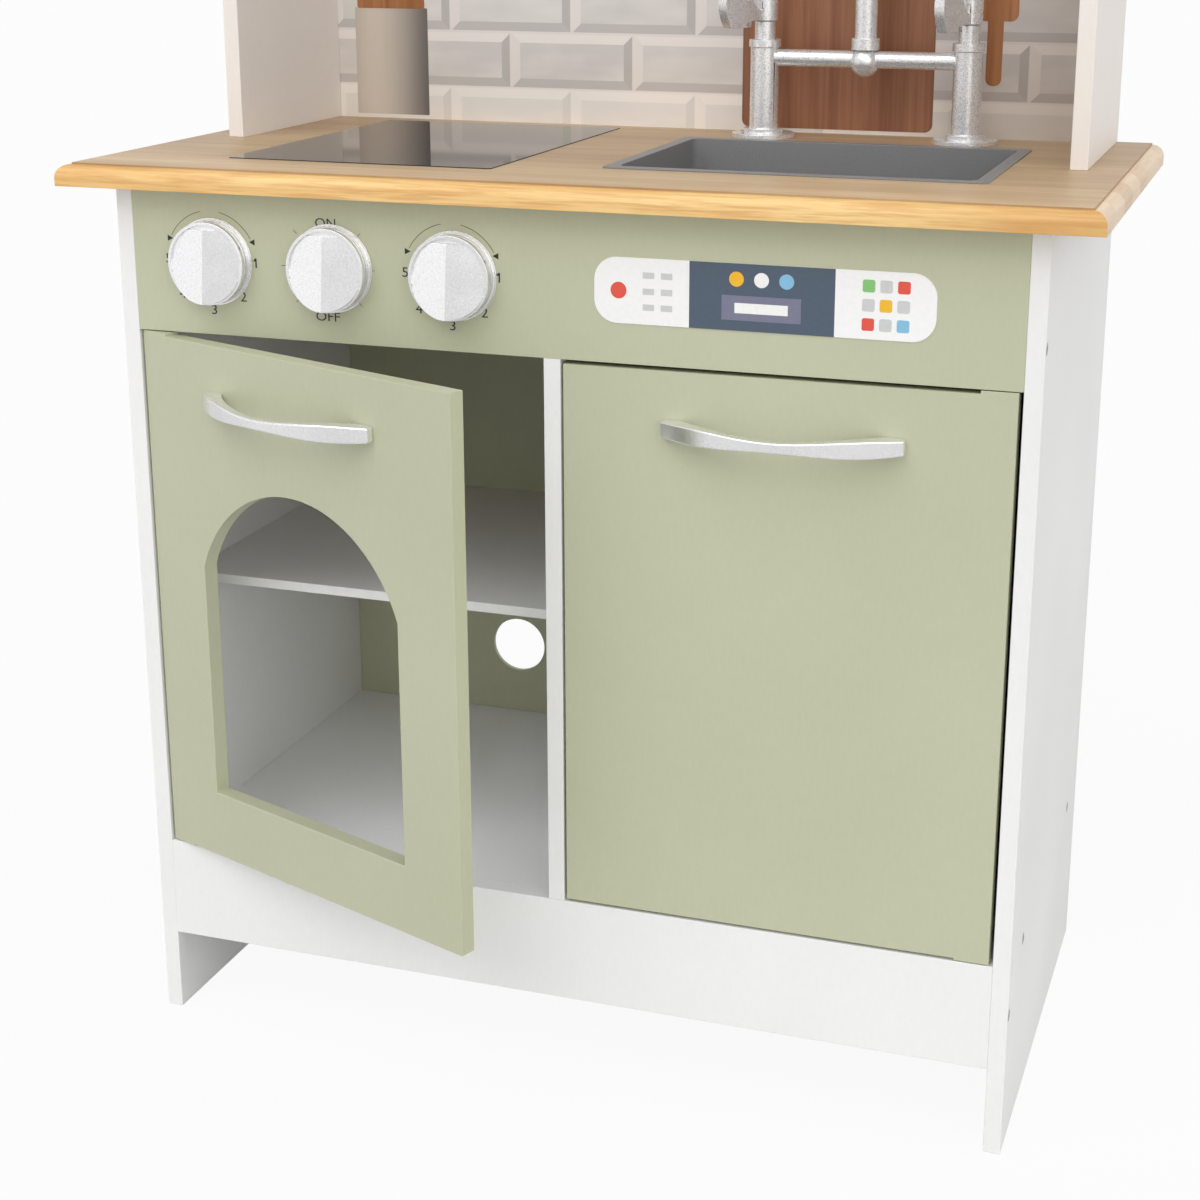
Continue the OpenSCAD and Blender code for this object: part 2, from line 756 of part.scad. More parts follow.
module pin_pair(play) {
    post(pivot_x, pivot_y, pin_r + play, pad_top - pin_in_door - play, panel_bottom + pin_in_bush);
    post(pivot_x, pivot_y, pin_r + play, floor_top - pin_in_bush, pad_bottom + pin_in_door + play);
}

module window_outline() translate([door_mid_x, 0]) {
    translate([-window_w / 2, sill_z]) square([window_w, window_side_h]);
    intersection() {
        translate([0, spring_z + arch_rise - arch_r]) circle(arch_r, $fn = 128);
        translate([-window_w / 2, spring_z - cut]) square([window_w, arch_rise + 2 * cut]);
    }
}

module oven_door() color(sage) oven_swing() mirror([1, 0, 0]) difference() {
    door_board();
    upright(-cut, board_t + 2 * cut) window_outline();
}

module right_door() color(sage) placed() door_board();

// Half height of a handle at the share t of its half length
function handle_half_h(t) =
    (handle_h_mid + (handle_h_max - handle_h_mid) * pow(sin(90 * t / handle_bulge_at), 2)) / 2;

module handle_front_outline() {
    ts = [for (i = [-handle_steps:handle_steps]) i / handle_steps];
    polygon(concat(
        [for (t = ts) [t * handle_half, handle_half_h(abs(t))]],
        [for (t = ts) [-t * handle_half, -handle_half_h(abs(t))]]));
}

module handle_plan_outline() difference() {
    intersection() {
        translate([0, -handle_proud + outer_bow_r]) circle(outer_bow_r, $fn = 180);
        translate([-handle_half, -handle_proud - cut]) square([handle_l, handle_proud + cut]);
    }
    translate([0, -inner_sag + inner_bow_r]) circle(inner_bow_r, $fn = 180);
}

module bow_handle() translate([door_mid_x, 0, handle_z]) difference() {
    intersection() {
        translate([0, 0, -handle_h_max]) linear_extrude(2 * handle_h_max) handle_plan_outline();
        upright(-handle_proud - cut, handle_proud + cut) handle_front_outline();
    }
    for (side = [-1, 1])
        rod_y(side * handle_screw_x, 0, screw_r + pin_fit, -handle_screw_in - hole_end, cut);
}

// Screw lines of a handle, from the door's inner face towards the handle
module handle_screw_places() for (side = [-1, 1])
    translate([door_mid_x + side * handle_screw_x, board_t, handle_z]) rotate([90, 0, 0]) children();

module handle_screw_pair() handle_screw_places() translate([0, 0, -head_h])
    screw(screw_r, board_t + handle_screw_in + head_h, head_r, head_h);

module oven_door_handle() color(silver) oven_swing() mirror([1, 0, 0]) bow_handle();
module right_door_handle() color(silver) placed() bow_handle();
module oven_door_handle_screws() color(steel) oven_swing() mirror([1, 0, 0]) handle_screw_pair();
module right_door_handle_screws() color(steel) placed() handle_screw_pair();
module oven_door_pins() color(steel) oven_swing() mirror([1, 0, 0]) pin_pair(0);
module right_door_pins() color(steel) placed() pin_pair(0);

// Steel plate let into the door's inner face
module strike_plate(t) translate([free_x + strike_inset, board_t - strike_t, strike_z])
    cube([strike_w, t, strike_h]);
module oven_door_strike() color(steel) oven_swing() mirror([1, 0, 0]) strike_plate(strike_t);
module right_door_strike() color(steel) placed() strike_plate(strike_t);

// Magnetic catch on the divider's side
module catch() block([div_x, board_t + catch_gap, strike_z],
    [div_x + catch_w, board_t + catch_gap + catch_d, strike_z + strike_h]);
module oven_door_catch() color([0.3, 0.3, 0.3]) placed() mirror([1, 0, 0]) catch();
module right_door_catch() color([0.3, 0.3, 0.3]) placed() catch();

module knob_bezel(i) color(silver) placed() difference() {
    union() {
        rod_y(knob_x(i), knob_z, bezel_r, -bezel_t + bezel_edge, 0);
        rod_y(knob_x(i), knob_z, bezel_r - bezel_edge, -bezel_t, 0);
        rod_y(knob_x(i), knob_z, sleeve_r, -bezel_t, board_t);
    }
    rod_y(knob_x(i), knob_z, stem_r + run_fit, -bezel_t - cut, board_t + cut);
}

// Knob cap about its axis: a rimmed disc with a groove behind it, a gabled grip ridge and a stem
module cap_shape() {
    rod_y(0, 0, cap_groove_r, -cap_front + cap_face_drop, -cap_back);
    difference() {
        rod_y(0, 0, cap_r, -cap_front, -cap_front + cap_disc_t);
        rod_y(0, 0, cap_r - cap_lip, -cap_front - cut, -cap_front + cap_face_drop);
    }
    rod_y(0, 0, stem_r, -cap_front + cap_face_drop, stem_end);
    intersection() {
        translate([0, -cap_front + cap_face_drop, 0]) rotate([-ridge_tilt, 0, 0]) ridge_bar();
        rod_y(0, 0, ridge_r, -cap_front - 2 * ridge_h, -cap_front + (cap_face_drop + cap_disc_t) / 2);
    }
}

// The ridge before it is cut round: its flat upper end, and a foot past the cap's rim
module ridge_bar() translate([0, 0, -2 * cap_r]) linear_extrude(2 * cap_r + ridge_up)
    polygon([[-ridge_w, ridge_sink], [-ridge_w, 0], [0, -ridge_h], [ridge_w, 0], [ridge_w, ridge_sink]]);

module knob_cap(i) color(silver) placed() translate([knob_x(i), 0, knob_z]) difference() {
    cap_shape();
    rod_y(0, 0, screw_r + pin_fit, stem_end - knob_screw_in - hole_end, stem_end + cut);
}

module knob_washer(i) color(steel) placed() difference() {
    rod_y(knob_x(i), knob_z, washer_r, stem_end, stem_end + washer_t);
    rod_y(knob_x(i), knob_z, screw_r + pin_fit, stem_end - cut, stem_end + washer_t + cut);
}

module knob_screw(i) color(steel) placed()
    translate([knob_x(i), stem_end + washer_t + head_h, knob_z]) rotate([90, 0, 0])
        screw(screw_r, head_h + washer_t + knob_screw_in, head_r, head_h);

module left_knob_bezel() knob_bezel(-1);
module middle_knob_bezel() knob_bezel(0);
module right_knob_bezel() knob_bezel(1);
module left_knob_cap() knob_cap(-1);
module middle_knob_cap() knob_cap(0);
module right_knob_cap() knob_cap(1);
module left_knob_washer() knob_washer(-1);
module middle_knob_washer() knob_washer(0);
module right_knob_washer() knob_washer(1);
module left_knob_screw() knob_screw(-1);
module middle_knob_screw() knob_screw(0);
module right_knob_screw() knob_screw(1);

module tap_pillar(i) color(silver) placed() difference() {
    union() {
        post(pillar_xs[i], tap_y, flange_r, top_z, top_z + flange_t);
        post(pillar_xs[i], tap_y, flange_up_r, top_z, top_z + flange_t + flange_up_t);
        post(pillar_xs[i], tap_y, pillar_r, top_z, pillar_top);
        post(pillar_xs[i], tap_y, collar_r, pillar_top, neck_bottom);
        post(pillar_xs[i], tap_y, neck_r, pillar_top, neck_top);
        post(pillar_xs[i], tap_y, spindle_r, neck_bottom, tap_cap_bottom + spindle_into_cap);
        post(pillar_xs[i], tap_y, shank_r, top_z - shank_l, top_z + flange_t);
    }
    bridge_bar(pin_fit);
}

// Bar between the pillars, let into them by the socket depth
module bridge_bar(play) rod_x(tap_y, bridge_z, bridge_r + play,
    pillar_xs[0] + pillar_r - socket_d - play, pillar_xs[1] - pillar_r + socket_d + play);

module tap_left_pillar() tap_pillar(0);
module tap_right_pillar() tap_pillar(1);

module tap_bridge() color(silver) placed() difference() {
    union() {
        bridge_bar(0);
        intersection() {
            translate([tap_x, tap_y, ball_z]) sphere(ball_r);
            post(tap_x, tap_y, ball_r + cut, ball_z - ball_r - cut, ball_flat_z);
        }
        post(tap_x, tap_y, post_r, ball_z, post_top);
    }
    difference() {
        post(tap_x, tap_y, post_r + cut, clip_z - run_fit, clip_z + clip_t + run_fit);
        post(tap_x, tap_y, clip_groove_r, clip_z - cut, clip_z + clip_t + cut);
    }
}

module spout_clip() color(steel) placed() difference() {
    post(tap_x, tap_y, clip_r, clip_z, clip_z + clip_t);
    post(tap_x, tap_y, clip_groove_r + pin_fit, clip_z - cut, clip_z + clip_t + cut);
}

module tap_spout() color(silver) placed() difference() {
    union() {
        post(tap_x, tap_y, spout_collar_r, spout_bottom, spout_bottom + spout_collar_h);
        post(tap_x, tap_y, spout_r, spout_bottom, bend_z);
        translate([tap_x, tap_y - bend_r, bend_z]) rotate([90, 0, 90])
            rotate_extrude(angle = 180) translate([bend_r, 0]) circle(spout_r);
        post(tap_x, tap_y - 2 * bend_r, spout_r, bend_z - outlet_l, bend_z);
        post(tap_x, tap_y - 2 * bend_r, nozzle_r, bend_z - outlet_l, bend_z - outlet_l + nozzle_h);
    }
    post(tap_x, tap_y, post_r + run_fit, spout_bottom - cut, post_top + turn_gap);
    post(tap_x, tap_y, cavity_r, clip_z - turn_gap, post_top + turn_gap);
    post(tap_x, tap_y - 2 * bend_r, nozzle_bore_r, bend_z - outlet_l - cut, bend_z - outlet_l + nozzle_bore_l);
}

// Side outline of a lever's blade: distance from the axis, height above the hub's underside
module blade_outline() intersection() {
    difference() {
        translate([0, blade_low]) square([lever_l, blade_high - blade_low]);
        translate([0, blade_low - cut]) square([blade_inner, neck_z0 - blade_low + cut]);
        translate([0, neck_z1]) square([blade_inner - blade_scoop_r, blade_high]);
        translate([blade_inner - blade_scoop_r, neck_z1 + blade_scoop_r]) {
            circle(blade_scoop_r);
            square([blade_scoop_r, blade_high]);
        }
        translate([blade_inner, blade_low - cut]) rotate(-blade_heel_angle)
            square([blade_heel_w, neck_z0 - blade_low + cut]);
    }
    translate([lever_l - blade_end_r, (blade_low + blade_high) / 2]) circle(blade_end_r);
}

module tap_lever(i) color(silver) placed() translate([pillar_xs[i], tap_y, hub_bottom])
    rotate([0, 0, lever_angles[i]]) difference() {
        union() {
            cylinder(r = hub_r, h = hub_h);
            translate([0, blade_t / 2, 0]) rotate([90, 0, 0]) linear_extrude(blade_t) blade_outline();
        }
        translate([0, 0, -cut]) cylinder(r = spindle_r + run_fit, h = hub_h + 2 * cut);
    }

module tap_left_lever() tap_lever(0);
module tap_right_lever() tap_lever(1);

module tap_cap(i) color(silver) placed() difference() {
    post(pillar_xs[i], tap_y, cap_disc_r, tap_cap_bottom, tap_cap_bottom + tap_cap_h);
    post(pillar_xs[i], tap_y, spindle_r + pin_fit, tap_cap_bottom - cut,
        tap_cap_bottom + spindle_into_cap + pin_fit);
}

module tap_left_cap() tap_cap(0);
module tap_right_cap() tap_cap(1);

module tap_nuts() color([0.9, 0.9, 0.88]) placed() for (x = pillar_xs) difference() {
    translate([x, tap_y, side_h - nut_h]) cylinder(r = nut_r, h = nut_h, $fn = 6);
    post(x, tap_y, shank_r + pin_fit, side_h - nut_h - cut, side_h + cut);
}

left_side_panel();
right_side_panel();
centre_divider();
floor_panel();
plinth();
cabinet_back_panel();
oven_shelf();
shelf_pins();
control_panel();
control_label();
worktop();
hob_plate();
sink_basin();
hutch_left_panel();
hutch_right_panel();
hutch_back_panel();
hutch_top_board();
side_panel_screws();
divider_screws();
corner_blocks();
corner_block_screws();
hutch_dowels();
worktop_dowels();
top_board_screws();
back_panel_screws();
oven_door();
oven_door_handle();
oven_door_handle_screws();
oven_door_pins();
oven_door_strike();
right_door();
right_door_handle();
right_door_handle_screws();
right_door_pins();
right_door_strike();
door_bushes();
oven_door_catch();
right_door_catch();
left_knob_bezel();
left_knob_cap();
left_knob_washer();
left_knob_screw();
middle_knob_bezel();
middle_knob_cap();
middle_knob_washer();
middle_knob_screw();
right_knob_bezel();
right_knob_cap();
right_knob_washer();
right_knob_screw();
tap_left_pillar();
tap_right_pillar();
tap_bridge();
tap_spout();
spout_clip();
tap_left_lever();
tap_right_lever();
tap_left_cap();
tap_right_cap();
tap_nuts();
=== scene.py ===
"""Looks of the toy kitchen unit over the CAD frame, in metres: camera, light, materials, prints, finished pieces."""
import json
import math
import bmesh
import bpy
import numpy as np
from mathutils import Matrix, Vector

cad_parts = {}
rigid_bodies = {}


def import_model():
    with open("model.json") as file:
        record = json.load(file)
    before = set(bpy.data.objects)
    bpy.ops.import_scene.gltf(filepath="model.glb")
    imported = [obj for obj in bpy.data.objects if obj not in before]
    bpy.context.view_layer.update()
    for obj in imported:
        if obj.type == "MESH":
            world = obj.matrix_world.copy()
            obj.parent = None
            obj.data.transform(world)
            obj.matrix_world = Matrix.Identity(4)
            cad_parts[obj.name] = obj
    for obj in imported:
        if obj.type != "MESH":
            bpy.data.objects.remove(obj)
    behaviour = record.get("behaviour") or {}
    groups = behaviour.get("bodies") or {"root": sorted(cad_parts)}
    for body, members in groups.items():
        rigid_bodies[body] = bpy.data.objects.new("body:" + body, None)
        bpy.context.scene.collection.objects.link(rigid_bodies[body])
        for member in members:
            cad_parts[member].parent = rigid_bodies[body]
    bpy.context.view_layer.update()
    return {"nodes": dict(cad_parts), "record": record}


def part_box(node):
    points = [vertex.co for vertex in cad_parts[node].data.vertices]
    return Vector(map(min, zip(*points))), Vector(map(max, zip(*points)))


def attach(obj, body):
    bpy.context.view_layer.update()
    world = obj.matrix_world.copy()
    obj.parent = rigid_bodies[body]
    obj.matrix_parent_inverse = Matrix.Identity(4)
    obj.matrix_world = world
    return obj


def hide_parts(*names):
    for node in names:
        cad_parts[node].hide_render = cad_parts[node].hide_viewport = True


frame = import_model()
MM = 0.001

# Camera, matched to the photo

CAMERA_PLACE = (0.4086, -1.1912, 0.6975)
CAMERA_DOWN = 16.27
CAMERA_LEFT = 18.76
LENS = 63.995
SHIFT = (-0.01479, -0.0711)


def link(item):
    bpy.context.scene.collection.objects.link(item)
    return item


def set_camera():
    data = bpy.data.cameras.new("photo_camera")
    data.sensor_width = 36.0
    data.lens = LENS
    data.shift_x, data.shift_y = SHIFT
    data.clip_end = 100.0
    camera = link(bpy.data.objects.new("photo_camera", data))
    camera.location = CAMERA_PLACE
    camera.rotation_euler = (math.radians(90 - CAMERA_DOWN), 0.0, math.radians(CAMERA_LEFT))
    bpy.context.scene.camera = camera


set_camera()

# Places and sizes that the frame gives


def ends(node):
    low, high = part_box(node)
    return np.array(low), np.array(high)


def middle(node):
    low, high = ends(node)
    return (low + high) / 2


SLOT = {part["node"]: part["material_slot"] for part in frame["record"]["subparts"]}
BODY = {node: thing.parent.name.split(":")[1] for node, thing in frame["nodes"].items()}
FRONT = ends("left_side_panel")[0][1]
TOP_LOW, TOP_HIGH = ends("worktop")
SPLASH_LOW = ends("hutch_back_panel")[0]
LABEL = middle("control_label")
LABEL_FACE = ends("control_label")[0][1]
KNOBS = [middle(side + "_knob_cap") for side in ("left", "middle", "right")]

EDGE_BAND = 7.5 * MM
PLANK = 41 * MM
TILE_ROW_Z = 569.7 * MM
TILE_H = 37.1 * MM
TILE_W = 87.2 * MM
TILE_JOINT_X = -45.9 * MM
TILE_BEVEL = 6.5 * MM
TILE_JOINT = 1.4 * MM
JAR_X = -221 * MM
JAR_W = 54 * MM

# Materials, all worked out from the object's own coordinates


def tone(red, green, blue):
    """An 8-bit screen colour as the linear colour that a shader takes."""
    part = np.array([red, green, blue]) / 255
    part = np.where(part <= 0.04045, part / 12.92, ((part + 0.055) / 1.055) ** 2.4)
    return (*part.tolist(), 1.0)


class Tree:
    """A material's nodes, with short ways to add and join them."""

    def __init__(self, name, rough=0.5, metal=0.0, **more):
        self.material = bpy.data.materials.new(name)
        self.material.use_nodes = True
        self.nodes = self.material.node_tree.nodes
        self.links = self.material.node_tree.links
        self.shader = self.nodes["Principled BSDF"]
        self.place = self.nodes.new("ShaderNodeTexCoord").outputs["Object"]
        self.feed("Roughness", rough)
        self.feed("Metallic", metal)
        for socket, value in more.items():
            self.feed(socket.replace("_", " "), value)

    def feed(self, socket, value):
        """A value or another node's output goes into one of the main shader's sockets."""
        self.give(self.shader.inputs[socket], value)

    def give(self, socket, value):
        if isinstance(value, bpy.types.NodeSocket):
            self.links.new(value, socket)
        else:
            socket.default_value = value

    def add(self, kind, *values, **settings):
        node = self.nodes.new("ShaderNode" + kind)
        for name, value in settings.items():
            setattr(node, name, value)
        for socket, value in zip(node.inputs, values):
            if value is not None:
                self.give(socket, value)
        return node.outputs[0]

    def sum(self, operation, a, b=0.0, c=0.0):
        return self.add("Math", a, b, c, operation=operation)

    def parts(self):
        node = self.nodes.new("ShaderNodeSeparateXYZ")
        self.give(node.inputs[0], self.place)
        return node.outputs[0], node.outputs[1], node.outputs[2]

    def vector(self, x, y, z):
        return self.add("CombineXYZ", x, y, z)

    def times(self, vector, x, y, z):
        return self.add("VectorMath", vector, (x, y, z), operation="MULTIPLY")

    def stretched(self, x, y, z):
        return self.times(self.place, x, y, z)

    def noise(self, vector, scale=1.0, detail=2.0, rough=0.5):
        node = self.nodes.new("ShaderNodeTexNoise")
        self.give(node.inputs["Vector"], vector)
        node.inputs["Scale"].default_value = scale
        node.inputs["Detail"].default_value = detail
        node.inputs["Roughness"].default_value = rough
        return node.outputs[0]

    def spread(self, value, low, high, start=0.0, end=1.0):
        """value from low to high becomes start to end, and no further."""
        return self.add("MapRange", value, low, high, start, end)

    def mix(self, share, a, b, blend="MIX"):
        node = self.nodes.new("ShaderNodeMix")
        node.data_type = "RGBA"
        node.blend_type = blend
        self.give(node.inputs[0], share)
        self.give(node.inputs[6], a)
        self.give(node.inputs[7], b)
        return node.outputs[2]

    def choose(self, share, a, b):
        """a where share is 0 and b where it is 1, for plain values."""
        return self.add("Mix", share, None, a, b)

    def bump(self, height, distance):
        node = self.nodes.new("ShaderNodeBump")
        node.inputs["Strength"].default_value = 1.0
        node.inputs["Distance"].default_value = distance
        self.give(node.inputs["Height"], height)
        self.feed("Normal", node.outputs[0])


def paint(name, dark, light, rough):
    """Satin paint on board: soft wide patches, a faint rolled texture and a fine orange peel."""
    tree = Tree(name, rough)
    patches = tree.noise(tree.place, 7, 3)
    rolled = tree.noise(tree.stretched(420, 420, 150), 1, 3)
    share = tree.sum("MULTIPLY_ADD", rolled, 0.35, tree.sum("MULTIPLY", patches, 0.65))
    tree.feed("Base Color", tree.mix(tree.spread(share, 0.35, 0.65), dark, light))
    tree.feed("Roughness", tree.spread(patches, 0.3, 0.7, rough * 0.9, rough * 1.1))
    tree.bump(tree.noise(tree.place, 700, 2), 0.00004)
    return tree.material


def oak():
    """Pale oak print: planks along the top, and round the moulded edge a honey strip, its grain turned at the mitres."""
    tree = Tree("oak_board", 0.42)
    x, y, z = tree.parts()
    from_front = tree.sum("SUBTRACT", y, float(TOP_LOW[1]))
    from_side = tree.sum("SUBTRACT", float(TOP_HIGH[0]), tree.sum("ABSOLUTE", x))
    nearest = tree.sum("MINIMUM", from_front, from_side)
    strip = tree.spread(nearest, EDGE_BAND - 0.2 * MM, EDGE_BAND + 0.2 * MM, 1.0, 0.0)
    turned = tree.sum("MULTIPLY", strip, tree.sum("LESS_THAN", from_side, from_front))
    along = tree.choose(turned, x, y)
    across = tree.choose(turned, y, x)
    plank = tree.sum("FLOOR", tree.sum("DIVIDE", y, PLANK))
    chance = tree.add("TexWhiteNoise", None, plank, noise_dimensions="1D")
    shifted = tree.sum("MULTIPLY_ADD", chance, 3.0, along)
    grain_place = tree.vector(tree.sum("MULTIPLY", shifted, 9.0), tree.sum("MULTIPLY", across, 210.0),
                              tree.sum("MULTIPLY", z, 210.0))
    fine = tree.noise(grain_place, 1, 4, 0.6)
    pores = tree.noise(tree.times(grain_place, 4, 5, 5), 1, 2)
    bands = tree.noise(tree.times(grain_place, 0.5, 0.14, 0.14), 1, 2)
    share = tree.spread(tree.sum("MULTIPLY_ADD", bands, 0.6, tree.sum("MULTIPLY", fine, 0.4)), 0.36, 0.66)
    top = tree.mix(share, tone(198, 168, 128), tone(230, 203, 164))
    top = tree.mix(tree.spread(chance, 0, 1, 0.0, 0.2), top, tone(184, 150, 114))
    streak_place = tree.vector(tree.sum("MULTIPLY", shifted, 7.0), tree.sum("MULTIPLY", across, 420.0), 0.0)
    streaks = tree.spread(tree.noise(streak_place, 1, 2), 0.58, 0.7, 0.0, 0.4)
    top = tree.mix(streaks, top, tone(170, 134, 98))
    joint = tree.sum("FRACT", tree.sum("DIVIDE", y, PLANK))
    joint = tree.spread(joint, 0.0, 0.02, 0.45, 0.0)
    top = tree.mix(joint, top, tone(140, 104, 70))
    # Painted shade: the top of the board darkens from 20 mm to 110 mm behind the front edge, towards the back under the
    # hutch.
    painted_back_shade = tree.spread(from_front, 20 * MM, 110 * MM, 0.0, 1.0)
    top = tree.mix(painted_back_shade, top, tone(222, 218, 214), "MULTIPLY")
    honey = tree.mix(share, tone(226, 176, 104), tone(255, 222, 156))
    # Painted shade: the honey front strip darkens towards its right end, from x 90 mm to 290 mm.
    honey = tree.mix(tree.spread(x, 90 * MM, 290 * MM, 0.0, 1.0), honey, tone(234, 224, 210), "MULTIPLY")
    hair_place = tree.vector(tree.sum("MULTIPLY", shifted, 22.0), tree.sum("MULTIPLY", across, 520.0),
                             tree.sum("MULTIPLY", z, 520.0))
    hair = tree.spread(tree.noise(hair_place, 1, 3, 0.65), 0.46, 0.62, 0.0, 0.5)
    honey = tree.mix(hair, honey, tone(206, 146, 78))
    pale = tree.mix(share, tone(214, 186, 154), tone(242, 221, 194))
    strip_colour = tree.mix(tree.sum("MULTIPLY", turned, tree.sum("GREATER_THAN", x, 0.0)), honey, pale)
    colour = tree.mix(strip, top, strip_colour)
    # Painted shade: a thin dark line where the raised top meets the edge strip, standing in for the shade on the 1 mm
    # step.
    painted_step_shade = tree.sum("COMPARE", nearest, EDGE_BAND, 0.35 * MM)
    colour = tree.mix(tree.sum("MULTIPLY", painted_step_shade, 0.6), colour, tone(150, 104, 58))
    colour = tree.mix(tree.spread(pores, 0.28, 0.42, 0.16, 0.0), colour, tone(150, 108, 66))
    tree.feed("Base Color", colour)
    tree.bump(fine, 0.00006)
    return tree.material


def tiles():
    """Printed splashback: bevelled tiles in half bond, with lit top and left slopes and shaded right and low slopes.
    The board is bare behind."""
    tree = Tree("tile_print", 0.35)
    x, y, z = tree.parts()
    row = tree.sum("DIVIDE", tree.sum("SUBTRACT", z, TILE_ROW_Z), TILE_H)
    row_number = tree.sum("FLOOR", row)
    odd = tree.sum("FLOORED_MODULO", row_number, 2.0)
    column = tree.sum("DIVIDE", tree.sum("SUBTRACT", x, TILE_JOINT_X), TILE_W)
    column = tree.sum("MULTIPLY_ADD", odd, 0.5, column)
    up = tree.sum("MULTIPLY", tree.sum("FRACT", row), TILE_H)
    right = tree.sum("MULTIPLY", tree.sum("FRACT", column), TILE_W)
    down = tree.sum("SUBTRACT", TILE_H, up)
    left = tree.sum("SUBTRACT", TILE_W, right)
    nearest = tree.sum("MINIMUM", tree.sum("MINIMUM", up, down), tree.sum("MINIMUM", right, left))
    slope = tree.spread(nearest, TILE_BEVEL, TILE_BEVEL + 0.4 * MM, 1.0, 0.0)
    joint = tree.spread(nearest, TILE_JOINT / 2, TILE_JOINT / 2 + 0.3 * MM, 1.0, 0.0)
    at_foot = tree.sum("COMPARE", nearest, up, 0.05 * MM)
    at_top = tree.sum("COMPARE", nearest, down, 0.05 * MM)
    at_left = tree.sum("COMPARE", nearest, right, 0.05 * MM)
    number = tree.vector(tree.sum("FLOOR", column), row_number, 0.0)
    chance = tree.add("TexWhiteNoise", number, noise_dimensions="3D")
    face = tree.mix(chance, tone(212, 209, 208), tone(226, 222, 219))
    sheen = tree.noise(tree.times(tree.vector(right, row_number, up), 22, 7, 60), 1, 2)
    face = tree.mix(tree.spread(sheen, 0.4, 0.7, 0.0, 0.6), face, tone(240, 236, 232))
    edge = tree.mix(at_foot, tone(196, 192, 190), tone(202, 198, 197))
    edge = tree.mix(at_top, edge, tone(245, 240, 236))
    edge = tree.mix(at_left, edge, tone(238, 233, 229))
    colour = tree.mix(slope, face, edge)
    colour = tree.mix(joint, colour, tone(238, 232, 228))
    low = tree.spread(z, float(SPLASH_LOW[2]), float(SPLASH_LOW[2]) + 70 * MM, 0.6, 0.0)
    colour = tree.mix(low, colour, tone(255, 243, 231), "MULTIPLY")
    foot = tree.spread(z, float(SPLASH_LOW[2]) + 22 * MM, float(SPLASH_LOW[2]) + 24 * MM, 0.5, 0.0)
    colour = tree.mix(foot, colour, tone(255, 250, 243))
    shade = tree.spread(x, 150 * MM, 235 * MM, 0.0, 1.0)
    colour = tree.mix(shade, colour, tone(218, 212, 207), "MULTIPLY")
    bare = tree.mix(tree.noise(tree.place, 40, 3), tone(214, 206, 194), tone(224, 217, 206))
    behind = tree.sum("GREATER_THAN", y, float(SPLASH_LOW[1]) + 0.5 * MM)
    tree.feed("Base Color", tree.mix(behind, colour, bare))
    return tree.material


def silver(name, rough, grit, metal, dark):
    """Silver coating with the grain of a sprayed finish: small tilts of the surface and fine specks.
    dark is the share of grey in the specks."""
    tree = Tree(name, rough, metal)
    speck = tree.noise(tree.place, 1100, 2, 0.6)
    cloud = tree.noise(tree.place, 60, 2)
    base = tree.mix(tree.spread(speck, 0.3, 0.7), tone(240, 240, 242), tone(252, 252, 253))
    specks = tree.spread(tree.noise(tree.place, 1200, 1), 0.36, 0.5, dark, 0.0)
    tree.feed("Base Color", tree.mix(specks, base, tone(120, 118, 116)))
    tree.feed("Roughness", tree.spread(cloud, 0.3, 0.7, rough * 0.85, rough * 1.2))
    tree.bump(speck, grit)
    return tree.material


def mottled(name, dark, light, rough, metal=0.0, scale=350.0, grit=0.00003, **more):
    """A moulded, coated or printed surface: fine mottling between two near colours and a slight texture."""
    tree = Tree(name, rough, metal, **more)
    speck = tree.noise(tree.place, scale, 3)
    tree.feed("Base Color", tree.mix(tree.spread(speck, 0.3, 0.7), dark, light))
    tree.bump(speck, grit)
    return tree.material


def grained(name, dark, light, x, y, z, rough=0.5):
    """Wood with its grain along the axis that has the smallest factor."""
    tree = Tree(name, rough)
    fine = tree.noise(tree.stretched(x, y, z), 1, 4, 0.6)
    bands = tree.noise(tree.stretched(x / 6, y / 6, z / 6), 1, 2)
    share = tree.sum("MULTIPLY_ADD", bands, 0.6, tree.sum("MULTIPLY", fine, 0.4))
    tree.feed("Base Color", tree.mix(tree.spread(share, 0.36, 0.64), dark, light))
    tree.bump(fine, 0.00004)
    return tree.material


def print_metal():
    """Printed grey metal: a broad light band on the left of the jar that falls away to the right."""
    tree = Tree("print_metal", 0.45)
    across = tree.spread(tree.parts()[0], JAR_X - JAR_W / 2, JAR_X + JAR_W / 2)
    light = tree.sum("SINE", tree.sum("MULTIPLY_ADD", across, 3.2, 0.75))
    wave = tree.noise(tree.stretched(500, 1, 12), 1, 2)
    share = tree.sum("MULTIPLY_ADD", wave, 0.12, light)
    tree.feed("Base Color", tree.mix(tree.spread(share, -0.6, 1.1), tone(112, 106, 103), tone(218, 206, 193)))
    return tree.material


def shades(low, high):
    return tone(low, low, low), tone(high, high, high)


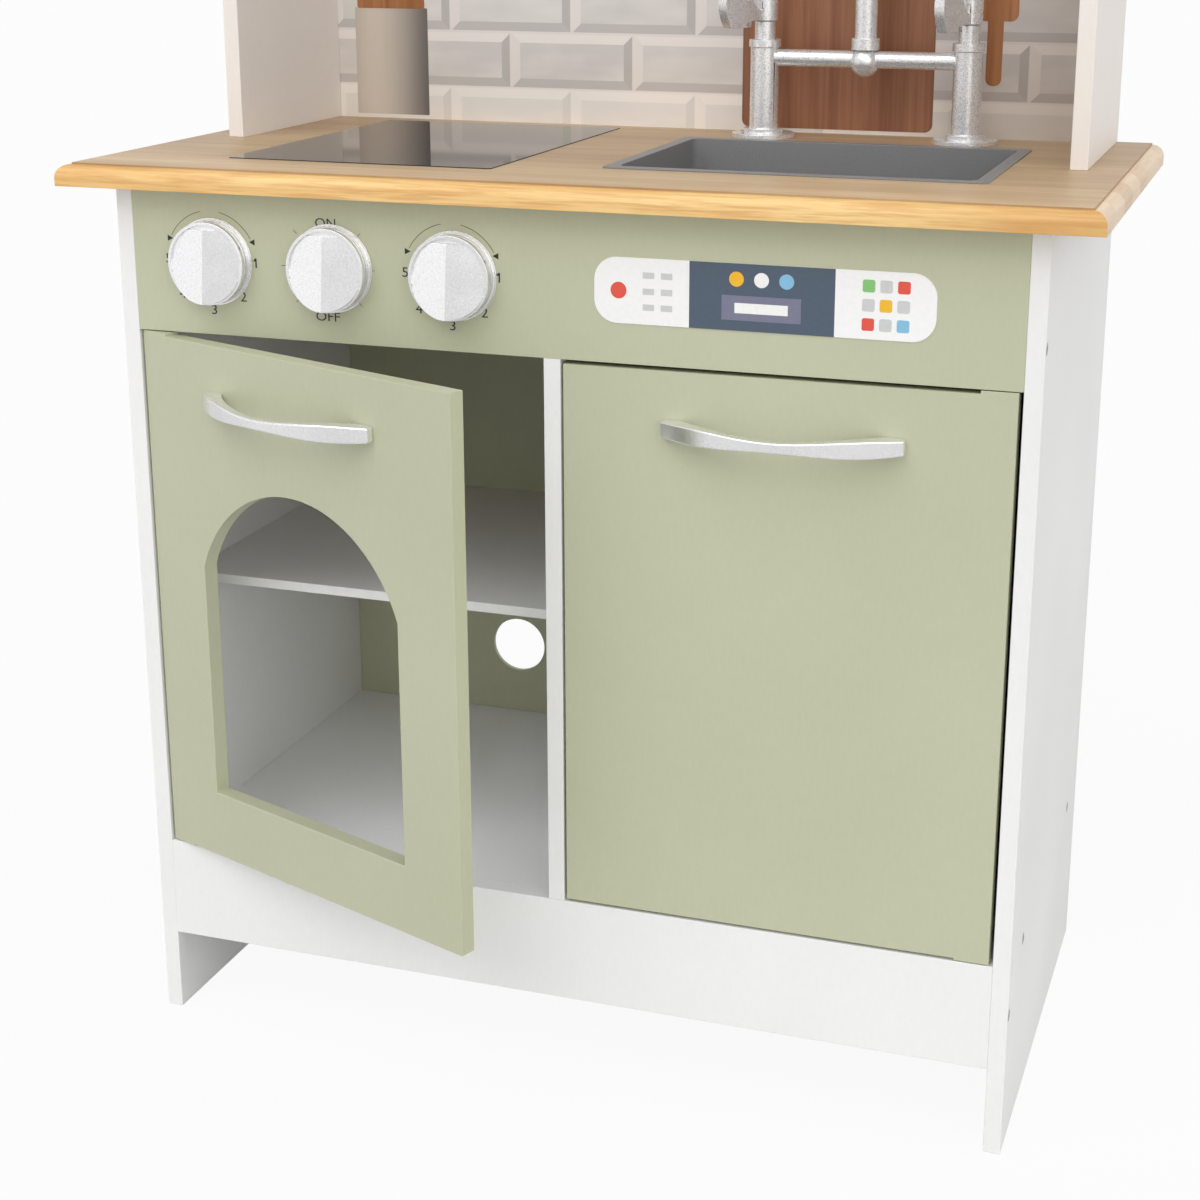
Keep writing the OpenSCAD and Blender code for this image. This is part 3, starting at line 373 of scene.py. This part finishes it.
MATERIAL = {
    "white_board": paint("white_board", tone(236, 236, 236), tone(241, 241, 241), 0.45),
    "sage_board": paint("sage_board", tone(188, 191, 163), tone(193, 196, 168), 0.42),
    "oak_board": oak(),
    "tile_print": tiles(),
    "label_print": mottled("label_print", *shades(244, 248), 0.35, grit=0.00001),
    "hob_gloss": mottled("hob_gloss", tone(46, 43, 41), tone(52, 49, 47), 0.06, grit=0.000003, Specular_IOR_Level=0.34),
    "sink_grey": mottled("sink_grey", tone(126, 126, 127), tone(136, 136, 137), 0.42, scale=900),
    "dowel_wood": grained("dowel_wood", tone(206, 172, 128), tone(228, 200, 158), 400, 400, 30),
    "white_nylon": mottled("white_nylon", *shades(222, 232), 0.4),
    "catch_black": mottled("catch_black", *shades(46, 54), 0.45),
    "screw_steel": mottled("screw_steel", *shades(176, 200), 0.32, 1.0, 500),
    "silver_plastic": silver("silver_plastic", 0.24, 0.00002, 0.85, 0.08),
}
GRITTY = silver("silver_gritty", 0.24, 0.00012, 0.62, 0.42)
# Painted reflection: the hutch boards' white is tinted warm, standing in for the warm light the oak worktop throws onto
# them.
HUTCH_WARM_REFLECTION_WHITE = paint("hutch_white", tone(238, 232, 226), tone(243, 237, 232), 0.45)
INK = {
    name: mottled("ink_" + name, tone(*[0.97 * c for c in colour]), tone(*colour), 0.4, grit=0.00001)
    for name, colour in {
        "black": (34, 34, 34), "navy": (78, 92, 110), "red": (232, 82, 64), "grey": (208, 209, 211),
        "amber": (247, 190, 30), "white": (248, 248, 247), "sky": (134, 192, 228), "green": (134, 200, 120),
        "lilac": (122, 122, 146),
    }.items()
}
PRINT_METAL = print_metal()
PRINT_WOOD = grained("print_wood", tone(122, 73, 45), tone(172, 117, 84), 260, 1, 9)
PRINT_WOOD_PALE = grained("print_wood_pale", tone(150, 92, 48), tone(196, 134, 84), 300, 1, 12)

for node, thing in frame["nodes"].items():
    for place in thing.material_slots:
        place.material = MATERIAL[SLOT[node]]

# Ways to make pieces

SHARP_DEGREES = 32.0
FLAT_DEGREES = 0.8
MERGE_REACH = 1e-7
CAD_MERGE_REACH = 1e-6
SHORTEST_EDGE = 0.5 * MM


def skin(points):
    """Points and faces of a closed grid: its rows follow one another along the piece and each row runs round it.
    The first and last rows are closed with a flat face each."""
    points = np.asarray(points, float)
    rows, columns = points.shape[:2]
    index = np.arange(rows * columns).reshape(rows, columns)
    near, far = index[:-1], index[1:]
    quads = np.stack([near, np.roll(near, -1, 1), np.roll(far, -1, 1), far], -1)
    faces = quads.reshape(-1, 4).tolist() + [index[0][::-1].tolist(), index[-1].tolist()]
    return points.reshape(-1, 3), faces


def make_piece(name, parts, materials, body):
    """One mesh object from (points, faces, number of its material) parts, riding on a body."""
    points, faces, numbers, start = [], [], [], 0
    for part_points, part_faces, number in parts:
        points.append(np.asarray(part_points, float))
        faces += [[corner + start for corner in face] for face in part_faces]
        numbers += [number] * len(part_faces)
        start += len(part_points)
    mesh = bpy.data.meshes.new(name)
    mesh.from_pydata(np.concatenate(points).tolist(), [], faces)
    mesh.polygons.foreach_set("material_index", numbers)
    for material in materials:
        mesh.materials.append(material)
    shape = bmesh.new()
    shape.from_mesh(mesh)
    bmesh.ops.remove_doubles(shape, verts=shape.verts, dist=MERGE_REACH)
    bmesh.ops.recalc_face_normals(shape, faces=shape.faces)
    shape.to_mesh(mesh)
    shape.free()
    mesh.shade_smooth()
    mesh.set_sharp_from_angle(angle=math.radians(SHARP_DEGREES))
    piece = link(bpy.data.objects.new(name, mesh))
    return settle(piece, body)


def settle(piece, body, replaces=()):
    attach(piece, body)
    if replaces:
        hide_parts(*replaces)
    return piece


def finished(node, width, segments=3, sharp=30.0, material=None):
    """The CAD node's own shape with its edges softly broken, in place of the node."""
    shape = bmesh.new()
    shape.from_mesh(frame["nodes"][node].data)
    bmesh.ops.remove_doubles(shape, verts=shape.verts, dist=CAD_MERGE_REACH)
    bmesh.ops.dissolve_limit(shape, angle_limit=math.radians(FLAT_DEGREES), verts=shape.verts, edges=shape.edges)
    weight = shape.edges.layers.float.new("bevel_weight_edge")
    for edge in shape.edges:
        edge.smooth = edge.calc_face_angle(0.0) < math.radians(sharp)
        edge[weight] = float(not edge.smooth and edge.calc_length() > SHORTEST_EDGE)
    for face in shape.faces:
        face.smooth = True
        face.material_index = 0
    mesh = bpy.data.meshes.new(node + "_finished")
    shape.to_mesh(mesh)
    shape.free()
    mesh.materials.append(material or MATERIAL[SLOT[node]])
    piece = link(bpy.data.objects.new(node + "_finished", mesh))
    bevel = piece.modifiers.new("broken_edges", "BEVEL")
    bevel.width = width
    bevel.segments = segments
    bevel.limit_method = "WEIGHT"
    bevel.use_clamp_overlap = False
    bevel.harden_normals = True
    return settle(piece, BODY[node], [node])


# Boards and fittings with broken edges

BOARDS = [
    "left_side_panel", "right_side_panel", "centre_divider", "floor_panel", "plinth", "oven_shelf", "control_panel",
    "oven_door", "right_door",
]
for node in BOARDS:
    finished(node, 0.45 * MM)
for node in ("hutch_left_panel", "hutch_right_panel", "hutch_top_board"):
    finished(node, 0.45 * MM, material=HUTCH_WARM_REFLECTION_WHITE)
finished("worktop", 0.25 * MM, 2)
finished("hob_plate", 0.3 * MM, 2)
finished("sink_basin", 0.3 * MM, 3)
for side in ("left", "middle", "right"):
    finished(side + "_knob_bezel", 0.35 * MM)
    finished(side + "_knob_cap", 0.3 * MM, sharp=9.0)
for node in ("oven_door_handle", "right_door_handle"):
    finished(node, 1.1 * MM, 4)
for node in ("tap_left_pillar", "tap_right_pillar", "tap_bridge", "tap_spout", "tap_left_lever",
             "tap_right_lever", "tap_left_cap", "tap_right_cap"):
    finished(node, 0.35 * MM, material=GRITTY)

# Thin prints on the panel, the label and the splashback

INK_T = 0.06 * MM
LETTER_STRETCH = 1.15


def plate(outline, face, thick=INK_T):
    """A closed plate thick in front of the plane y = face, from an outline of (x, z) points."""
    outline = np.asarray(outline, float)
    rows = [np.stack([outline[:, 0], np.full(len(outline), y), outline[:, 1]], -1) for y in (face, face - thick)]
    return skin(rows)


def box_outline(x, z, width, height, radius=0.0, steps=5):
    """A rectangle about (x, z), its corners quarter circles of the radius."""
    turn = np.radians(np.concatenate([np.linspace(q, q + 90, steps + 1) for q in (0, 90, 180, 270)]))
    side = np.repeat([1, -1, -1, 1], steps + 1)
    level = np.repeat([1, 1, -1, -1], steps + 1)
    if radius == 0:
        keep = np.arange(0, len(turn), steps + 1)
        turn, side, level = turn[keep], side[keep], level[keep]
    return np.stack([x + side * (width / 2 - radius) + radius * np.cos(turn),
                     z + level * (height / 2 - radius) + radius * np.sin(turn)], -1)


def disc_outline(x, z, radius, steps=40):
    turn = np.linspace(0, 2 * math.pi, steps, endpoint=False)
    return np.stack([x + radius * np.cos(turn), z + radius * np.sin(turn)], -1)


def arc_outline(x, z, radius, width, start, end, steps=24):
    """A strip of the width along a circle's arc, from the start to the end angle in degrees."""
    turn = np.radians(np.linspace(start, end, steps + 1))
    ray = np.stack([np.cos(turn), np.sin(turn)], -1)
    return np.array([x, z]) + np.concatenate([ray * (radius + width / 2), ray[::-1] * (radius - width / 2)])


def letters(text, height, x, z, face):
    """Generic marks in the built-in font, as a closed mesh centred on (x, z) that faces the front."""
    curve = bpy.data.curves.new("marks", "FONT")
    curve.body = text
    curve.extrude = 0.5
    curve.resolution_u = 4
    holder = link(bpy.data.objects.new("marks", curve))
    bpy.context.view_layer.update()
    mesh = bpy.data.meshes.new_from_object(holder.evaluated_get(bpy.context.evaluated_depsgraph_get()))
    points = np.array([corner.co for corner in mesh.vertices])
    faces = [list(face.vertices) for face in mesh.polygons]
    bpy.data.objects.remove(holder)
    bpy.data.curves.remove(curve)
    bpy.data.meshes.remove(mesh)
    low, high = points.min(0), points.max(0)
    points = (points - (low + high) / 2) * height / (high[1] - low[1])
    depth = np.where(points[:, 2] > 0, face - INK_T, face)
    return np.stack([x + LETTER_STRETCH * points[:, 0], depth, z + points[:, 1]], -1), faces


LEGEND_R = 29.2 * MM
LINE = 0.32 * MM
DIGIT_H = 5.5 * MM
ARROW_HALF = 1.8 * MM
TICK_IN, TICK_OUT = 26.6 * MM, 29.4 * MM
DIGITS = {"2": (19.4, -19.8), "3": (0.0, -28.4), "4": (-20.4, -19.9), "5": (-28.4, 0.4)}


def arrow_outline(x, z, at, way):
    """A level triangle on the legend's circle at an angle in degrees, its tip to the right (way 1) or left (-1)."""
    turn = math.radians(at)
    middle_x, middle_z = x + LEGEND_R * math.cos(turn), z + LEGEND_R * math.sin(turn)
    tip, back = middle_x + way * ARROW_HALF, middle_x - way * ARROW_HALF
    return np.array([(tip, middle_z), (back, middle_z + ARROW_HALF), (back, middle_z - ARROW_HALF)])


def one_outline(x, z):
    """The figure one: a stem with a short flag to the left of its top."""
    half, stem = DIGIT_H / 2, 0.45 * MM
    flag = [(x - 1.7 * MM, z + half - 1.5 * MM), (x - 1.2 * MM, z + half - 2.1 * MM), (x - stem, z + half - 1.5 * MM)]
    return np.array([(x + stem, z - half), (x + stem, z + half), (x - stem, z + half), *flag, (x - stem, z - half)])


def range_legend(x, z):
    """Numbers 1 to 5 round the knob, and two arcs with arrowheads above it."""
    parts = [plate(arc_outline(x, z, LEGEND_R, LINE, *span), FRONT) for span in ((102, 151), (78, 29))]
    parts += [plate(arrow_outline(x, z, 155, 1), FRONT), plate(arrow_outline(x, z, 25, -1), FRONT)]
    parts += [plate(one_outline(x + 28.6 * MM, z + 0.4 * MM), FRONT)]
    parts += [letters(mark, DIGIT_H, x + right * MM, z + up * MM, FRONT) for mark, (right, up) in DIGITS.items()]
    return parts


def switch_legend(x, z):
    """ON above and OFF below the knob, with ticks between them."""
    parts = [letters("ON", 5.2 * MM, x - 0.6 * MM, z + 25.8 * MM, FRONT),
             letters("OFF", 5.4 * MM, x - 1 * MM, z - 28 * MM, FRONT)]
    for at in (0, 45, 135, 180, 225, 315):
        turn = math.radians(at)
        ray = np.array([math.cos(turn), math.sin(turn)])
        across = np.array([-ray[1], ray[0]]) * LINE / 2
        inner, outer = ray * TICK_IN, ray * TICK_OUT
        tick = [inner - across, outer - across, outer + across, inner + across]
        parts.append(plate(np.array([x, z]) + tick, FRONT))
    return parts


def add_print(name, groups):
    """One piece of printed plates: groups of (material, parts)."""
    materials = [material for material, parts in groups]
    parts = [(points, faces, number) for number, (material, group) in enumerate(groups) for points, faces in group]
    return make_piece(name, parts, materials, "cabinet")


KNOB_Z = KNOBS[0][2]
LEGEND_LEFT = [1.2 * MM, 2.7 * MM, 2.0 * MM]
LEGEND_X = [knob[0] - left for knob, left in zip(KNOBS, LEGEND_LEFT)]
legends = range_legend(LEGEND_X[0], KNOB_Z) + switch_legend(LEGEND_X[1], KNOB_Z) + range_legend(LEGEND_X[2], KNOB_Z)
add_print("knob_legends", [(INK["black"], legends)])


def label_art():
    """Printed play controls: a round button and bars, a display with three lamps, and a keypad."""
    def at(right, up):
        return LABEL[0] + right * MM, LABEL[2] + up * MM

    def dot(right, up, radius):
        return plate(disc_outline(*at(right, up), radius * MM), LABEL_FACE - INK_T)

    def bar(right, up, width, height, radius=0.0, layer=1):
        return plate(box_outline(*at(right, up), width * MM, height * MM, radius * MM), LABEL_FACE - layer * INK_T)

    keys = {ink: [] for ink in ("green", "grey", "red", "amber", "sky")}
    pad = [["green", "grey", "red"], ["grey", "amber", "grey"], ["red", "grey", "sky"]]
    for line, up in zip(pad, (10.2, 0.0, -10.3)):
        for ink, right in zip(line, (58.1, 67.45, 76.85)):
            keys[ink].append(bar(right, up, 6.7, 6.7, 1.2, 0))
    keys["red"].append(plate(disc_outline(*at(-80.3, 0), 4.6 * MM), LABEL_FACE))
    keys["grey"] += [bar(right, up, 6.5, 3.4, 0.0, 0) for right in (-63.2, -52.9) for up in (8.85, 0.0, -8.7)]
    keys["amber"].append(dot(-13.8, 9.75, 4.07))
    keys["sky"].append(dot(13.8, 9.75, 4.07))
    height = (ends("control_label")[1][2] - ends("control_label")[0][2]) / MM
    groups = [(INK["navy"], [bar(0, 0, 80.2, height, 0.0, 0)]), (INK["lilac"], [bar(0, -5.8, 43.8, 13.45)]),
              (INK["white"], [bar(0, -5.8, 29.4, 5.55, 0.0, 2), dot(0, 9.75, 4.07)])]
    return groups + [(INK[ink], parts) for ink, parts in keys.items()]


add_print("label_art", label_art())

SPLASH = SPLASH_LOW[1]
LAYER = 0.12 * MM


def motif(outline, layer):
    return plate(outline, SPLASH - layer * LAYER, LAYER)


def kitchen_motifs():
    """Printed kitchenware: a grey jar with a wooden lid, a tall chopping board and an upright rolling pin."""
    foot = 549.6 * MM
    jar_top = 621.5 * MM
    jar = box_outline(JAR_X, (foot + jar_top) / 2, JAR_W, jar_top - foot, 0.8 * MM)
    lid = box_outline(JAR_X, jar_top + 3.5 * MM, JAR_W - 4 * MM, 8 * MM, 1.5 * MM)
    lid_knob = disc_outline(JAR_X, jar_top + 13 * MM, 7 * MM)
    board_w, board_h = 126 * MM, 190 * MM
    board_x, board_z = 92.5 * MM, 549.5 * MM + board_h / 2
    board = box_outline(board_x, board_z, board_w, board_h, 5 * MM)
    grip = box_outline(board_x, board_z + board_h / 2 + 26 * MM, 30 * MM, 70 * MM, 14 * MM)
    pin_x, pin_foot = 193 * MM, 580 * MM
    pin_grip = box_outline(pin_x, pin_foot + 88 * MM, 10 * MM, 176 * MM, 4.5 * MM)
    pin_body = box_outline(pin_x, pin_foot + 88 * MM, 28 * MM, 96 * MM, 5 * MM)
    return [(PRINT_METAL, [motif(jar, 0)]),
            (PRINT_WOOD_PALE, [motif(lid, 1), motif(pin_grip, 0), motif(pin_body, 1)]),
            (PRINT_WOOD, [motif(board, 1), motif(grip, 0), motif(lid_knob, 0)])]


add_print("splashback_motifs", kitchen_motifs())

# Floor, light and background

FLOOR_GLOW = 0.93
FLOOR_REACH = 20.0
WORLD_LIGHT = 0.45
MIRROR_SHARE = 0.6


def by_ray(nodes, links, away, seen, mirrored):
    """A mix of two shaders: away lights the object, the camera sees seen, and reflections take a part of seen."""
    path = nodes.new("ShaderNodeLightPath")
    share = nodes.new("ShaderNodeMath")
    share.operation = "MULTIPLY_ADD"
    share.use_clamp = True
    links.new(path.outputs["Is Glossy Ray"], share.inputs[0])
    share.inputs[1].default_value = mirrored
    links.new(path.outputs["Is Camera Ray"], share.inputs[2])
    mix = nodes.new("ShaderNodeMixShader")
    links.new(share.outputs[0], mix.inputs[0])
    links.new(away, mix.inputs[1])
    links.new(seen, mix.inputs[2])
    return mix.outputs[0]


def set_world():
    """An even studio: soft light on the object, and plain white where the camera sees it."""
    world = bpy.data.worlds.new("studio")
    world.use_nodes = True
    nodes, links = world.node_tree.nodes, world.node_tree.links
    soft = nodes["Background"]
    soft.inputs["Color"].default_value = (1, 1, 1, 1)
    soft.inputs["Strength"].default_value = WORLD_LIGHT
    white = nodes.new("ShaderNodeBackground")
    white.inputs["Strength"].default_value = 1.0
    white.inputs["Color"].default_value = (1, 1, 1, 1)
    both = by_ray(nodes, links, soft.outputs[0], white.outputs[0], MIRROR_SHARE)
    links.new(both, nodes["World Output"].inputs["Surface"])
    bpy.context.scene.world = world
    bpy.context.scene.view_settings.view_transform = "Standard"


set_world()


def add_sun(name, strength, spread, tilt, turn, colour):
    """A sun of an angular width in degrees, tilted from straight down and turned to the right, in degrees."""
    data = bpy.data.lights.new(name, "SUN")
    data.energy = strength
    data.color = colour
    data.angle = math.radians(spread)
    sun = link(bpy.data.objects.new(name, data))
    sun.rotation_euler = (math.radians(tilt), 0.0, math.radians(turn))


SUNS = [
    ("key", 1.15, 50, 38, -25, (0.985, 1.0, 1.02)),
    ("front", 0.8, 60, 74, 22, (1.0, 0.97, 0.91)),
    ("side", 1.0, 90, 60, 84, (1.0, 1.0, 1.0)),
]
for sun in SUNS:
    add_sun(*sun)


def add_floor():
    """A white floor that glows to the camera alone, so it stays white there and keeps the object's soft shadow."""
    mesh = bpy.data.meshes.new("floor")
    quarters = ((-1, -1), (1, -1), (1, 1), (-1, 1))
    corners = [(right * FLOOR_REACH, back * FLOOR_REACH, 0) for right, back in quarters]
    mesh.from_pydata(corners, [], [(0, 1, 2, 3)])
    tree = Tree("floor_white", 0.9)
    speck = tree.noise(tree.place, 3, 3)
    tree.feed("Base Color", tree.mix(speck, tone(212, 212, 212), tone(216, 216, 216)))
    lit = tree.shader.outputs[0]
    glow = tree.nodes.new("ShaderNodeEmission")
    glow.inputs["Color"].default_value = (1, 1, 1, 1)
    both = tree.nodes.new("ShaderNodeMixShader")
    both.inputs[0].default_value = FLOOR_GLOW
    tree.links.new(lit, both.inputs[1])
    tree.links.new(glow.outputs[0], both.inputs[2])
    shown = by_ray(tree.nodes, tree.links, lit, both.outputs[0], 0.0)
    tree.links.new(shown, tree.nodes["Material Output"].inputs["Surface"])
    mesh.materials.append(tree.material)
    link(bpy.data.objects.new("floor", mesh))


def add_card(name, start, end, height, level):
    """An upright card on the floor that only reflections see, so that it lights nothing."""
    mesh = bpy.data.meshes.new(name)
    mesh.from_pydata([(*start, 0), (*end, 0), (*end, height), (*start, height)], [], [(0, 1, 2, 3)])
    tree = Tree(name, 1.0)
    glow = tree.nodes.new("ShaderNodeEmission")
    speck = tree.noise(tree.place, 3, 3)
    tree.give(glow.inputs["Color"], tree.mix(speck, tone(*[level - 3] * 3), tone(*[level] * 3)))
    tree.links.new(glow.outputs[0], tree.nodes["Material Output"].inputs["Surface"])
    mesh.materials.append(tree.material)
    card = link(bpy.data.objects.new(name, mesh))
    card.visible_camera = card.visible_diffuse = card.visible_shadow = False


add_floor()
add_card("white_card", (-3.0, 0.2), (-1.2, -2.4), 1.6, 255)
add_card("grey_card", (-1.0, -2.1), (0.8, -2.1), 0.9, 215)
